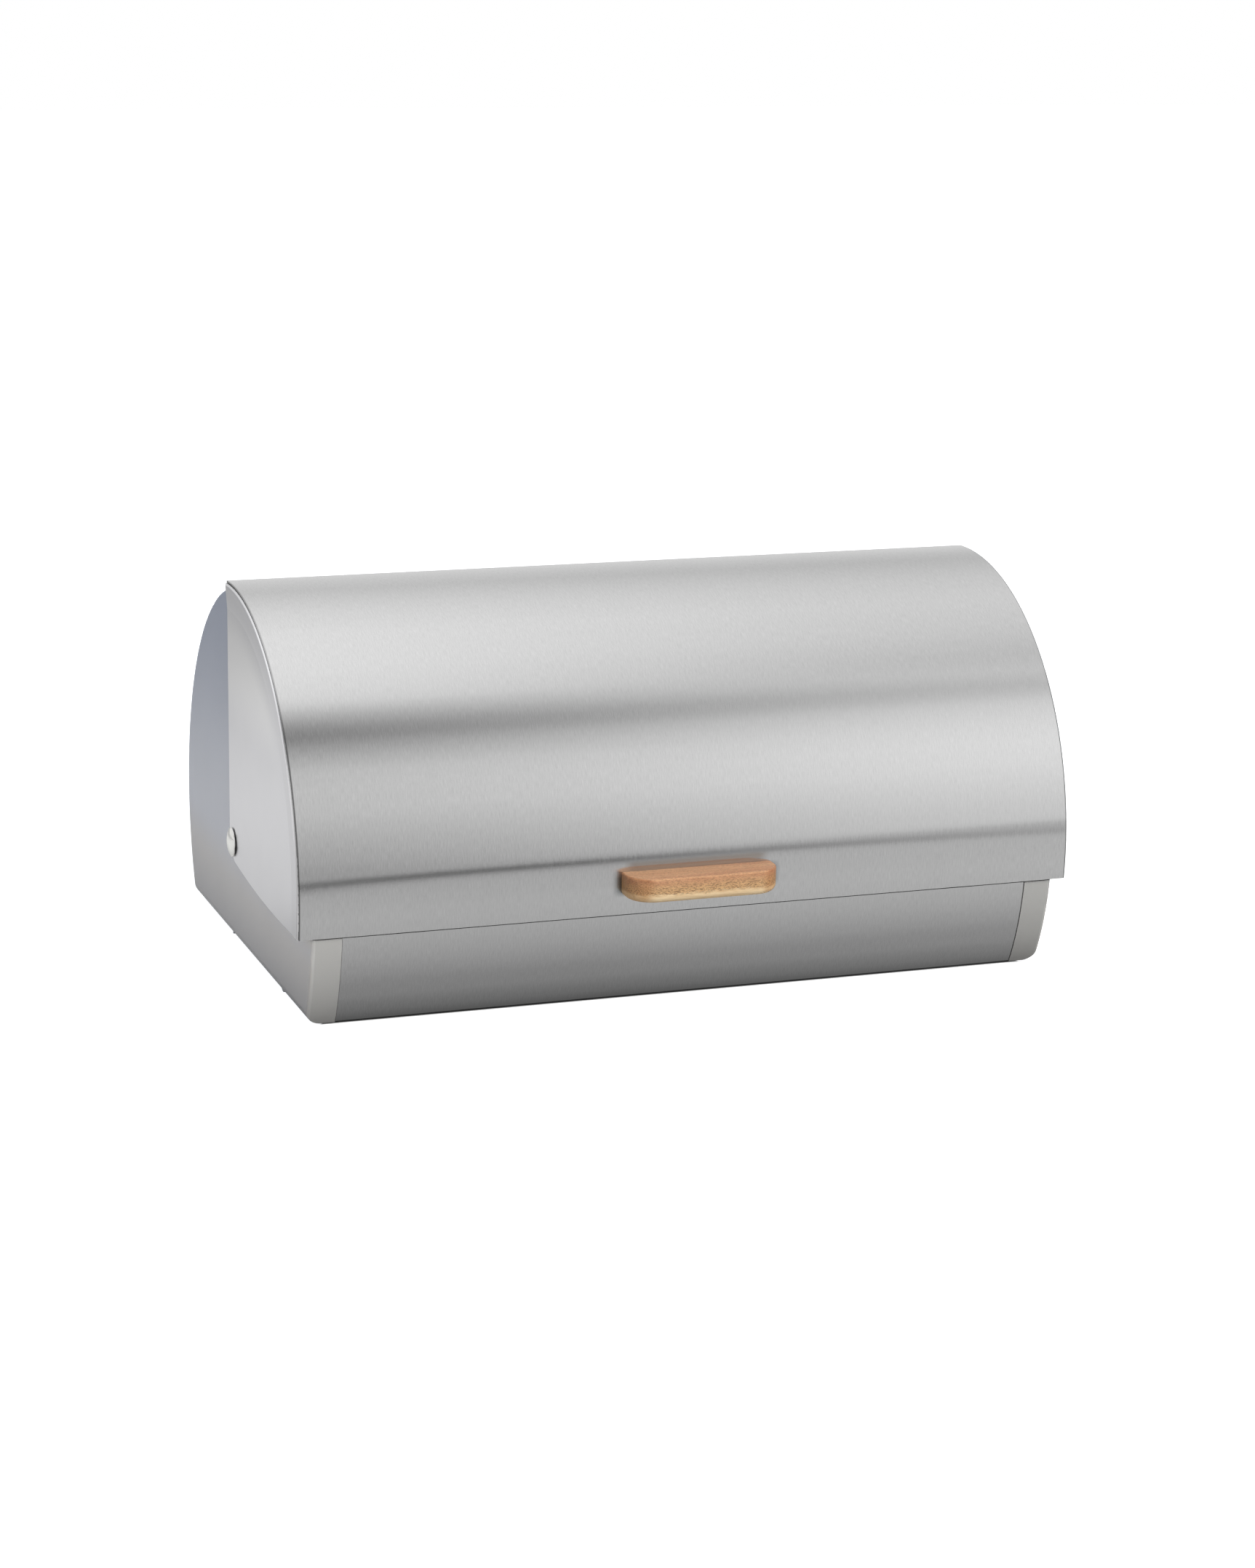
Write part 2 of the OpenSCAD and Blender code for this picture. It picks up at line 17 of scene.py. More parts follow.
import bmesh
import bpy
from mathutils import Matrix, Vector

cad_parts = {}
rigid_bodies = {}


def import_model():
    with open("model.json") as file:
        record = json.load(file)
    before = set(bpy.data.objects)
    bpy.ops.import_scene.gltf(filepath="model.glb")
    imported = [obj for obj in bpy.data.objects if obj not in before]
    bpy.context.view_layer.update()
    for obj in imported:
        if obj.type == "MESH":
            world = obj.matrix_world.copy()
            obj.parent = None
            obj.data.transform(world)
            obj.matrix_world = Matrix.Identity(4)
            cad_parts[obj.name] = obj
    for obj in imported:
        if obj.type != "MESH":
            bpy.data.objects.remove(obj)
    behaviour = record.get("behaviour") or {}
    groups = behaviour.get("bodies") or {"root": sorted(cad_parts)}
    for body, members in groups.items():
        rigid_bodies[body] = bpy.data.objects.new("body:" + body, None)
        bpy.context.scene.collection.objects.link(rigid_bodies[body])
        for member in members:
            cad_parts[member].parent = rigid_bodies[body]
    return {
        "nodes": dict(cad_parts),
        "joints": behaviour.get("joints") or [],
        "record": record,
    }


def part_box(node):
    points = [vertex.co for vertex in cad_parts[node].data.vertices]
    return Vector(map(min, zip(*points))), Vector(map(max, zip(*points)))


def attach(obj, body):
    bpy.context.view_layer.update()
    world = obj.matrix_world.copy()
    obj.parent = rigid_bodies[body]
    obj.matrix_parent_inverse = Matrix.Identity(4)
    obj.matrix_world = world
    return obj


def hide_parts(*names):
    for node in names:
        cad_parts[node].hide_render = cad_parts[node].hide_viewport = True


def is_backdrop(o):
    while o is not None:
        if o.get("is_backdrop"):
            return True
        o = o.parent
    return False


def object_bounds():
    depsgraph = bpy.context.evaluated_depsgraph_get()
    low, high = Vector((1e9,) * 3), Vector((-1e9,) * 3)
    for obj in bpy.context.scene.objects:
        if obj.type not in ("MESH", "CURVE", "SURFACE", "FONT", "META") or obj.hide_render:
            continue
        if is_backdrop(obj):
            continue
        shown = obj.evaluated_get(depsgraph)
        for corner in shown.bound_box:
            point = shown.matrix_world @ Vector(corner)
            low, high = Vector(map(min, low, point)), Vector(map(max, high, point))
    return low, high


for old in list(bpy.data.objects):
    bpy.data.objects.remove(old)

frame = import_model()
nodes = frame["nodes"]
low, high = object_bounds()
print("nodes:", len(nodes), "box:", [round(b - a, 4) for a, b in zip(low, high)])

# %% [markdown]
# Everything on this box is drawn about one line: the axis that the lid turns on. The joint
# gives its place. The lid's radius and the ends of the pieces follow from the boxes of the
# nodes, so a finish that follows an edge stays on it when the solids change.

# %% Measure the frame
SEAM_WIDTH = 0.0006

hinge = Vector(frame["joints"][0]["pos_m"])
lid_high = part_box("lid_sheet")[1]
lid_r = lid_high.z - hinge.z
handle_low, handle_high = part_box("handle")
half_handle = (handle_high.z - handle_low.z) / 2
cap_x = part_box("right_end_cap")[1].x
seam_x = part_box("body_sheet")[1].x + SEAM_WIDTH
rivet_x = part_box("right_pivot_rivet")[1].x
print("hinge:", [round(v, 4) for v in hinge], "lid radius:", round(lid_r, 4))

# %% [markdown]
# ## The camera
#
# The camera stands to the left of the box and a little above it. Three turns aim it: it is
# first raised from looking straight down, then turned about the vertical, and last rolled
# about its own line of sight. A camera can also be aimed by a target, but that can't hold a
# roll. A long lens keeps the box's edges nearly parallel.

# %% Place the camera
CAMERA_PLACE = Vector((-0.5942, -1.6619, 0.5302))
CAMERA_YAW = math.radians(19.886)
CAMERA_PITCH = math.radians(14.342)
CAMERA_ROLL = math.radians(1.116)
CAMERA_LENS = 82.83
SENSOR_WIDTH = 36

camera = bpy.data.objects.new("camera", bpy.data.cameras.new("camera"))
bpy.context.scene.collection.objects.link(camera)
camera.matrix_world = (
    Matrix.Translation(CAMERA_PLACE)
    @ Matrix.Rotation(-CAMERA_YAW, 4, "Z")
    @ Matrix.Rotation(math.pi / 2 - CAMERA_PITCH, 4, "X")
    @ Matrix.Rotation(CAMERA_ROLL, 4, "Z")
)
camera.data.sensor_width = SENSOR_WIDTH
camera.data.lens = CAMERA_LENS
bpy.context.scene.camera = camera
bpy.context.scene.view_settings.view_transform = "Standard"
print("camera stands", round((CAMERA_PLACE - hinge).length, 3), "m from the hinge axis")

# %% [markdown]
# ## Small helpers for shader nodes
#
# A material is a graph of nodes. It could be wired by hand, node by node, but the same few
# patterns come back in every finish. So one helper adds a node and sets its values, another
# fills a socket with a link or a plain value, and the rest are the nodes used most.

# %% Node helpers
def add_node(tree, kind, inputs=None, **settings):
    made = tree.nodes.new(kind)
    for name, value in settings.items():
        setattr(made, name, value)
    for name, value in (inputs or {}).items():
        made.inputs[name].default_value = value
    return made


def join(tree, value, socket):
    # a tuple is a colour, and gets its alpha here
    if isinstance(value, bpy.types.NodeSocket):
        tree.links.new(value, socket)
    else:
        socket.default_value = (*value, 1) if isinstance(value, tuple) else value


def maths(tree, operation, *values):
    made = add_node(tree, "ShaderNodeMath", operation=operation)
    for value, socket in zip(values, made.inputs):
        join(tree, value, socket)
    return made.outputs[0]


def opposite(tree, value):
    return maths(tree, "SUBTRACT", 1.0, value)


def mixed(tree, factor, first, second, blend_type="MIX"):
    made = add_node(tree, "ShaderNodeMix", data_type="RGBA", blend_type=blend_type)
    for name, value in (("Factor", factor), ("A", first), ("B", second)):
        join(tree, value, made.inputs[name])
    return made.outputs["Result"]


def new_material(name):
    material = bpy.data.materials.new(name)
    material.use_nodes = True
    shader = material.node_tree.nodes["Principled BSDF"]
    return material, material.node_tree, shader


print("node helpers ready")

# %% [markdown]
# Most finishes change with the place on the piece: a seam is dark, an edge is bright. The
# next helpers read the place, measure it from the hinge axis, and turn it into a mask that
# goes from 0 to 1, in a straight line or with soft ends. A band is a mask that rises and
# falls again. A ramp turns a number into a colour, or into a grey if one value is given.

# %% Helpers for places, masks and ramps
def place_on(tree):
    return add_node(tree, "ShaderNodeTexCoord").outputs["Object"]


def axes_of(tree, vector):
    parts = add_node(tree, "ShaderNodeSeparateXYZ")
    tree.links.new(vector, parts.inputs[0])
    return parts.outputs


def from_hinge(tree, vector):
    centred = add_node(tree, "ShaderNodeMapping", {"Location": -hinge})
    tree.links.new(vector, centred.inputs["Vector"])
    return centred.outputs[0]


def between(tree, value, start, end, lowest=0.0, highest=1.0, curve="LINEAR"):
    made = add_node(tree, "ShaderNodeMapRange", {
        "From Min": start, "From Max": end, "To Min": lowest, "To Max": highest,
    }, interpolation_type=curve)
    tree.links.new(value, made.inputs["Value"])
    return made.outputs[0]


def stepped(tree, value, start, end):
    return between(tree, value, start, end, curve="SMOOTHSTEP")


def band(tree, value, rise, full, fade, end):
    falling = opposite(tree, between(tree, value, fade, end))
    return maths(tree, "MULTIPLY", between(tree, value, rise, full), falling)


def ramp(tree, factor, stops):
    made = add_node(tree, "ShaderNodeValToRGB")
    elements = made.color_ramp.elements
    while len(elements) < len(stops):
        elements.new(0.5)
    for element, (place, colour) in zip(elements, stops):
        element.position = place
        element.color = (*colour, 1) if len(colour) == 3 else (colour[0],) * 3 + (1,)
    tree.links.new(factor, made.inputs["Fac"])
    return made.outputs["Color"]


print("mask helpers ready")

# %% [markdown]
# ## The studio
#
# Steel has hardly a colour of its own. What it shows is the room, so the room is built with
# as much care as the box. The world is white where the camera or a mirror looks at it, and
# plainer where it lights matt surfaces. The Light Path node tells the two apart.

# %% World
WORLD_LIGHT = 0.20
WORLD_TINT = (0.90, 0.96, 1.08)

world = bpy.data.worlds.new("studio")
bpy.context.scene.world = world
world.use_nodes = True
tree = world.node_tree
paths = add_node(tree, "ShaderNodeLightPath")
seen = maths(tree, "MAXIMUM", paths.outputs["Is Camera Ray"], paths.outputs["Is Glossy Ray"])
seen = maths(tree, "MAXIMUM", seen, paths.outputs["Is Transmission Ray"])
strength = maths(tree, "ADD", maths(tree, "MULTIPLY", seen, 1 - WORLD_LIGHT), WORLD_LIGHT)
join(tree, strength, tree.nodes["Background"].inputs["Strength"])
sky = mixed(tree, seen, WORLD_TINT, (1.0, 1.0, 1.0))
join(tree, sky, tree.nodes["Background"].inputs["Color"])
print("world light on matt surfaces:", WORLD_LIGHT)

# %% [markdown]
# The floor is a white table. One plain white material could serve, but the three kinds of
# ray that reach it need different things from it, so its material has three parts. Each is
# written by the distance from the space under the box, which these lines measure first.

# %% Floor
def stage_object(name, shape):
    mesh = bpy.data.meshes.new(name)
    shape.to_mesh(mesh)
    shape.free()
    made = bpy.data.objects.new(name, mesh)
    bpy.context.scene.collection.objects.link(made)
    made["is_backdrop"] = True
    return made


FLOOR_HALF = 6
# the space under the box: half its width, half its depth, and its middle from front to back
FOOT_X, FOOT_Y, FOOT_MIDDLE = 0.1825, 0.1130, 0.0086

shape = bmesh.new()
bmesh.ops.create_grid(shape, x_segments=1, y_segments=1, size=FLOOR_HALF)
floor = stage_object("floor", shape)
floor_white, tree, shader = new_material("table_top")
floor.data.materials.append(floor_white)
tree.nodes.remove(shader)
axes = axes_of(tree, place_on(tree))
aside = maths(tree, "SUBTRACT", maths(tree, "ABSOLUTE", axes["X"]), FOOT_X)
ahead = maths(tree, "ABSOLUTE", maths(tree, "SUBTRACT", axes["Y"], FOOT_MIDDLE))
outside = maths(tree, "MAXIMUM", aside, maths(tree, "SUBTRACT", ahead, FOOT_Y))
print("floor:", 2 * FLOOR_HALF, "m wide")

# %% [markdown]
# To the camera the floor is lit paper, so it runs out to pure white and keeps a soft shadow
# under the box. The glow is masked out under the box, a painted shadow where no light gets
# in. To matt surfaces it is plain, with a painted shade that darkens it close to the box.

# %% The floor for the camera and for matt surfaces
paper = add_node(tree, "ShaderNodeBsdfDiffuse", {"Color": (0.55, 0.55, 0.55, 1)})
glow = add_node(tree, "ShaderNodeEmission")
# painted shadow: the glow is masked out under the box
outside_painted_shadow = between(tree, outside, -0.0036, -0.0020)
far_off = between(tree, outside, 0.15, 0.90, 0.88, 1.0)
join(tree, maths(tree, "MULTIPLY", outside_painted_shadow, far_off), glow.inputs["Strength"])
to_camera = add_node(tree, "ShaderNodeAddShader")
tree.links.new(paper.outputs[0], to_camera.inputs[0])
tree.links.new(glow.outputs[0], to_camera.inputs[1])

matt = add_node(tree, "ShaderNodeBsdfDiffuse")
# painted shade: the matt floor is darker close to the box
painted_floor_shade = between(tree, outside, 0.0, 0.06)
join(tree, mixed(tree, painted_floor_shade, (0.10, 0.10, 0.10), (0.66, 0.66, 0.65)), matt.inputs["Color"])
print("floor glow ends under the box")

# %% [markdown]
# To the steel the floor is a surface whose brightness changes with the distance, darkest
# close in front of the box. That turns the front panel from a light grey at its top to a
# darker one at its foot. The tones could come from lamps and shadows, but a short list of
# them is easier to set.

# %% The floor for the steel
# distance in front of the middle of the box, and the tone there
TABLE_TONES = [
    (-1.2, 0.400), (-0.7, 0.400), (-0.5, 0.700), (-0.3, 0.800), (-0.1, 0.770), (0, 0.500),
    (0.085, 0.005), (0.104, 0.040), (0.112, 0.330), (0.122, 0.288), (0.135, 0.378),
    (0.155, 0.463), (0.186, 0.536), (0.25, 0.586), (0.36, 0.563), (0.6, 0.542),
    (0.95, 0.470), (1.3, 0.450),
]
TABLE_FIRST = TABLE_TONES[0][0]
TABLE_SPAN = TABLE_TONES[-1][0] - TABLE_FIRST
TABLE_SLOPE = 0.202

ahead_share = maths(tree, "SUBTRACT", -TABLE_FIRST, axes["Y"])
ahead_share = maths(tree, "MULTIPLY", ahead_share, 1 / TABLE_SPAN)
tone = ramp(tree, ahead_share, [((d - TABLE_FIRST) / TABLE_SPAN, (t,)) for d, t in TABLE_TONES])
# the table is brighter towards the right
sideways = add_node(tree, "ShaderNodeClamp", {"Min": -0.04, "Max": 0.5})
tree.links.new(axes["X"], sideways.inputs["Value"])
slope = maths(tree, "MULTIPLY", sideways.outputs[0], TABLE_SLOPE)
# and dimmer close beside the box
beside = between(tree, aside, 0.0, 0.10, 0.60, 1.0)
in_front = between(tree, axes["Y"], -0.085, -0.100)
near = maths(tree, "MAXIMUM", beside, in_front)
in_mirror = add_node(tree, "ShaderNodeEmission")
bright = maths(tree, "MULTIPLY", maths(tree, "ADD", tone, slope), near)
join(tree, bright, in_mirror.inputs["Strength"])
print("table tones:", len(TABLE_TONES))

# %% [markdown]
# Two Mix Shader nodes bring the three parts together: the first keeps the lit paper for the
# camera, and the second gives the listed tones to glossy and clear surfaces.

# %% Join the floor's three parts
def shader_by(tree, factor, first, second):
    made = add_node(tree, "ShaderNodeMixShader")
    for value, socket in zip((factor, first, second), made.inputs):
        tree.links.new(value, socket)
    return made.outputs[0]


paths = add_node(tree, "ShaderNodeLightPath").outputs
plain = shader_by(tree, paths["Is Camera Ray"], matt.outputs[0], to_camera.outputs[0])
mirrored = maths(tree, "MAXIMUM", paths["Is Glossy Ray"], paths["Is Transmission Ray"])
whole = shader_by(tree, mirrored, plain, in_mirror.outputs[0])
join(tree, whole, tree.nodes["Material Output"].inputs["Surface"])
print("floor material:", len(tree.nodes), "nodes")

# %% [markdown]
# Round the box stands a tent, as is put up where polished metal is lit: a large half tube of
# cloth whose brightness changes from front to top to back. The camera doesn't see it, and it
# lights nothing but glossy surfaces. One dark strip in it, high in front, gives the lid the
# soft dark band that makes a polished curve look round. Lamps behind cloth are the other way
# to do it, but a list of tones is easier to set. There is one list for the left of the tube
# and one for the right.

# %% Shape of the light tent
TENT_R = 2.4
TENT_HALF_LENGTH = 5.0
TENT_FOOT = math.radians(-1.4)
TENT_STEPS = 90

shape = bmesh.new()
start = Vector((0, -TENT_R * math.cos(TENT_FOOT), TENT_R * math.sin(TENT_FOOT)))
ends = [shape.verts.new(start + Vector((x, 0, 0))) for x in (-TENT_HALF_LENGTH, TENT_HALF_LENGTH)]
edge = shape.edges.new(ends)
bmesh.ops.spin(
    shape, geom=[edge, *ends], cent=(0, 0, 0), axis=(-1, 0, 0), dvec=(0, 0, 0),
    angle=math.pi - 2 * TENT_FOOT, steps=TENT_STEPS, use_duplicate=False,
)
bmesh.ops.translate(shape, verts=shape.verts, vec=hinge)
tent = stage_object("light_tent", shape)
print("tent:", len(tent.data.polygons), "faces")

# %% [markdown]
# The cloth glows by two ramps over the angle round the tube. The left tones hold from the
# tube's left end to a little right of the box, and from there they blend into the right ones.

# %% Tones of the light tent
def glowing(name, piece):
    material, tree, shader = new_material(name)
    piece.data.materials.append(material)
    tree.nodes.remove(shader)
    glow = add_node(tree, "ShaderNodeEmission")
    join(tree, glow.outputs[0], tree.nodes["Material Output"].inputs["Surface"])
    return tree, glow


# angle round the tube in degrees above the table in front, tone on the left, on the right
TENT_TONES = [
    (-8, 0.450, 0.760), (0, 0.405, 0.855), (5, 0.469, 0.865), (15, 0.566, 0.946),
    (25, 0.678, 1.035), (35, 0.699, 1.063), (42, 0.678, 1.023), (48, 0.521, 0.978),
    (53, 0.380, 0.923), (57, 0.254, 0.789), (61, 0.334, 0.701), (65, 0.507, 0.760),
    (69, 0.716, 0.806), (73, 0.963, 0.720), (78, 1.032, 0.704), (84, 1.059, 0.749),
    (92, 1.086, 0.808), (110, 1.070, 0.875), (126, 0.962, 0.818), (135, 0.869, 0.749),
    (148, 0.719, 0.637), (165, 0.760, 0.760), (188, 0.880, 0.880),
]
TENT_FIRST = TENT_TONES[0][0]
TENT_SPAN = TENT_TONES[-1][0] - TENT_FIRST
TENT_LEFT, TENT_RIGHT = 0.40, 1.15

tree, glow = glowing("tent_cloth", tent)
axes = axes_of(tree, from_hinge(tree, place_on(tree)))
angle = maths(tree, "ARCTAN2", axes["Z"], maths(tree, "MULTIPLY", axes["Y"], -1.0))
share = maths(tree, "SUBTRACT", angle, math.radians(TENT_FIRST))
share = maths(tree, "MULTIPLY", share, 1 / math.radians(TENT_SPAN))
left, right = (
    ramp(tree, share, [((row[0] - TENT_FIRST) / TENT_SPAN, (row[which],)) for row in TENT_TONES])
    for which in (1, 2)
)
along = between(tree, axes["X"], TENT_LEFT, TENT_RIGHT)
join(tree, mixed(tree, along, left, right), glow.inputs["Color"])
print("tent radius", TENT_R, "m, tones", len(TENT_TONES))

# %% [markdown]
# The lid shows one thin dark line just above the handle, such as the edge of a table gives.
# A dark ribbon on the floor, along a long oval, stands in for that edge, and only glossy
# surfaces see it. It is a circle without its rear, stretched and raised into a low wall.

# %% Table edge
EDGE_LEFT, EDGE_RIGHT, EDGE_AHEAD = 0.45, 0.285, 0.90
EDGE_REAR = -0.45
EDGE_PLACE = (0.235, 0, 0.001)
EDGE_HEIGHT = 0.028

shape = bmesh.new()
bmesh.ops.create_circle(shape, segments=128, radius=1)
behind = [v for v in shape.verts if v.co.y > EDGE_REAR]
bmesh.ops.delete(shape, geom=behind, context="VERTS")
left_side = [v for v in shape.verts if v.co.x < 0]
right_side = [v for v in shape.verts if v.co.x >= 0]
for reach, side in ((EDGE_LEFT, left_side), (EDGE_RIGHT, right_side)):
    bmesh.ops.scale(shape, vec=(reach, EDGE_AHEAD, 1), verts=side)
bmesh.ops.translate(shape, vec=EDGE_PLACE, verts=shape.verts)
raised = bmesh.ops.extrude_edge_only(shape, edges=shape.edges)
upper = [v for v in raised["geom"] if isinstance(v, bmesh.types.BMVert)]
bmesh.ops.translate(shape, vec=(0, 0, EDGE_HEIGHT), verts=upper)
table_edge = stage_object("table_edge", shape)

# the line fades out towards the right
tree, glow = glowing("table_edge", table_edge)
fade = between(tree, axes_of(tree, place_on(tree))["X"], 0.22, 0.48, 0.0, 0.55)
join(tree, fade, glow.inputs["Strength"])

for piece in (tent, table_edge):
    piece.visible_camera = False
    piece.visible_diffuse = False
    piece.visible_shadow = False
    piece.visible_transmission = False
print("table edge:", len(table_edge.data.polygons), "faces")

# %% [markdown]
# Soft lamps do the rest. The one high on the left is a little blue, as daylight is, and
# grazes the side of the box. The one in front and above is nearly neutral, and so is the one
# behind on the right. A low one on the left stands for the light that a white table throws back at
# the foot of the side wall, and a very small one lifts the end cap's front corner. All are
# area lamps, because a point lamp would draw hard shadows.

# %% Lamps
def soft_lamp(name, place, aim, size, power, colour):
    lamp = bpy.data.lights.new(name, "AREA")
    lamp.shape = "RECTANGLE"
    lamp.size, lamp.size_y = size
    lamp.energy = power
    lamp.color = colour
    holder = bpy.data.objects.new(name, lamp)
    bpy.context.scene.collection.objects.link(holder)
    holder.location = place
    direction = Vector(aim) - Vector(place)
    holder.rotation_euler = direction.to_track_quat("-Z", "Y").to_euler()
    holder.visible_glossy = False
    holder.visible_camera = False


middle = (low + high) / 2
foot = (-0.2, 0.0, 0.057)
corner = (-0.19, -0.12, 0.05)
# name, place, aim, size, power, colour
for lamp in (
    ("window_light", (-2.2, 0.5, 1.4), middle, (1.6, 1.2), 11, (0.36, 0.64, 1.25)),
    ("front_light", (0.6, -1.8, 2.0), middle, (1.8, 1.2), 68, (1.0, 0.985, 0.95)),
    ("back_light", (1.6, 1.9, 1.6), middle, (1.6, 1.2), 36, (1.0, 1.0, 0.98)),
    ("table_glow", (-0.268, 0.0, 0.057), foot, (0.5, 0.02), 0.115, (1.0, 0.95, 0.84)),
    ("corner_glow", (-0.25, -0.24, 0.05), corner, (0.04, 0.04), 0.006, (1.0, 1.0, 0.97)),
):
    soft_lamp(*lamp)

# %% [markdown]
# ## Finishes
#
# ### Brushed steel
#
# A belt drags fine scratches round the sheet, so each scratch follows the curve and the
# surface only changes from scratch to scratch, along the box. The pattern is therefore drawn
# in two coordinates of the tube: the distance along the axis and the angle round it. Noise
# that is stretched a great deal along the angle gives the scratches. It comes in two sizes:
# fine scratches for gloss, relief and colour, and broad ones that only move the colour.

# %% Brush marks, as a node group
SCRATCH_DENSITY = 2200.0
SCRATCH_STRETCH = 32.0


def group_faces(name, inputs, outputs):
    group = bpy.data.node_groups.new(name, "ShaderNodeTree")
    face = group.interface
    face.new_socket("Vector", in_out="INPUT", socket_type="NodeSocketVector")
    for label, value in inputs:
        made = face.new_socket(label, in_out="INPUT", socket_type="NodeSocketFloat")
        made.default_value = value
    for label in outputs:
        face.new_socket(label, in_out="OUTPUT", socket_type="NodeSocketFloat")
    given = group.nodes.new("NodeGroupInput").outputs
    return group, given, group.nodes.new("NodeGroupOutput").inputs


def brush_group():
    sizes = (("Density", SCRATCH_DENSITY), ("Stretch", SCRATCH_STRETCH))
    group, given, result = group_faces("brush_marks", sizes, ("Fine", "Broad"))
    axes = axes_of(group, from_hinge(group, given["Vector"]))
    line = maths(group, "MULTIPLY", axes["X"], given["Density"])
    turn = maths(group, "ARCTAN2", axes["Y"], axes["Z"])
    turn = maths(group, "MULTIPLY", turn, given["Stretch"])
    for name, scale, stretch in (("Fine", 1.0, 1.0), ("Broad", 0.22, 0.05)):
        spot = add_node(group, "ShaderNodeCombineXYZ")
        join(group, maths(group, "MULTIPLY", line, scale), spot.inputs["X"])
        join(group, maths(group, "MULTIPLY", turn, stretch), spot.inputs["Y"])
        noise = add_node(group, "ShaderNodeTexNoise", {
            "Scale": 1.0, "Detail": 3.0, "Roughness": 0.6,
        })
        join(group, spot.outputs[0], noise.inputs["Vector"])
        join(group, noise.outputs["Fac"], result[name])
    return group


BRUSH = brush_group()
print("brush marks:", [s.name for s in BRUSH.interface.items_tree])

# %% [markdown]
# Two things are the same in every finish: the colour wanders a little either way, and the
# same fine pattern moves the gloss and gives a very low relief.

# %% What every finish has
def varied(tree, factor, colour, spread):
    dark = tuple(c * (1 - spread) for c in colour)
    light = tuple(min(1.0, c * (1 + spread)) for c in colour)
    return ramp(tree, factor, [(0.3, dark), (0.7, light)])


def surface(tree, shader, fine, roughness, spread, depth):
    rough = between(tree, fine, 0.0, 1.0, roughness - spread, roughness + spread)
    join(tree, rough, shader.inputs["Roughness"])
    bump = add_node(tree, "ShaderNodeBump", {"Strength": 1.0, "Distance": depth})
    join(tree, fine, bump.inputs["Height"])
    join(tree, bump.outputs[0], shader.inputs["Normal"])


print("two helpers for finishes")

# %% [markdown]
# The lid's sheet is sheared at both ends. Its cut edge is dull, and it lies in the shade of
# the crevice beside the cheek's bend, so the dark line there is partly the dull edge and partly
# painted shade. The line is fainter towards the top of the lid. It could be a sharp bevel
# in the mesh, but a mask over the last 0.7 mm leaves the solid as it is.

# %% The lid's sheared ends
SHEET_GREY = (0.68, 0.68, 0.68)
# the dark line at the cut edge: partly dull steel, partly painted shade
CUT_EDGE_SHADE = tuple(c * 0.22 for c in SHEET_GREY)
CUT_EDGE_SHADE_FADE = 0.5


def sheared_ends(tree, tint, axes):
    # painted shade in the crevice at the cut edge, over the dull edge itself
    edge_shade_mask = between(
        tree, maths(tree, "ABSOLUTE", axes["X"]), lid_high.x - 0.0007, lid_high.x - 0.0002,
    )
    faint = stepped(tree, axes["Z"], hinge.z + 0.060, hinge.z + 0.100)
    kept = opposite(tree, maths(tree, "MULTIPLY", faint, CUT_EDGE_SHADE_FADE))
    return mixed(tree, maths(tree, "MULTIPLY", edge_shade_mask, kept), tint, CUT_EDGE_SHADE)


print("burr tone:", round(CUT_EDGE_SHADE[0], 3))

# %% [markdown]
# Where the handle stands on the lid, the steel beside its ends is dark, and just above and
# below it the wood shows as a blurred warm image. The lamps and the tent alone don't give
# this strongly enough, so both are painted here as soft masks round the handle. The price
# is that they stay on the lid in any other light, as faint tints.

# %% Shade and mirror image round the handle
SHADE_TINT = (0.20, 0.22, 0.22)
IMAGE_NEAR, IMAGE_FAR = (0.47, 0.51, 0.55), (0.49, 0.44, 0.40)
IMAGE_BELOW = (0.80, 0.71, 0.58)


def round_handle(tree, tint, axes):
    aside = maths(tree, "ABSOLUTE", axes["X"])
    over = maths(tree, "SUBTRACT", axes["Z"], handle_low.z + half_handle)
    # the painted shade beside each end
    outside_handle_shade = between(tree, aside, handle_high.x, handle_high.x + 0.0046)
    level = between(
        tree, maths(tree, "ABSOLUTE", over), half_handle - 0.0030, half_handle + 0.0005,
    )
    shade = maths(tree, "MULTIPLY", opposite(tree, outside_handle_shade), opposite(tree, level))
    tint = mixed(tree, shade, tint, SHADE_TINT)
    # the painted reflection of the wood above, which is cooler close to the wood, and the one
    # below
    inside = opposite(tree, stepped(tree, aside, handle_high.x - 0.0070, handle_high.x))
    above = opposite(tree, stepped(tree, over, half_handle + 0.0032, half_handle + 0.0056))
    above = maths(tree, "MULTIPLY", above, stepped(tree, over, 0.0, 0.0010))
    below = stepped(tree, over, -half_handle - 0.0022, -half_handle)
    below = maths(tree, "SUBTRACT", below, stepped(tree, over, -0.0010, 0.0))
    higher = stepped(tree, over, half_handle + 0.0012, half_handle + 0.0022)
    image = mixed(tree, higher, IMAGE_NEAR, IMAGE_FAR)
    tint = mixed(tree, maths(tree, "MULTIPLY", above, inside), tint, image)
    return mixed(tree, maths(tree, "MULTIPLY", below, inside), tint, IMAGE_BELOW)


print("half the handle's height:", round(half_handle, 4))

# %% [markdown]
# Both sheets are the same steel. Its highlight is drawn out across the scratches, which is
# what anisotropy does, and a radial tangent about the X axis turns it round the drum. Only
# the lid wears the two masks above.

# %% Steel for the sheets
def lid_dress(tree, tint):
    axes = axes_of(tree, place_on(tree))
    return round_handle(tree, sheared_ends(tree, tint, axes), axes)


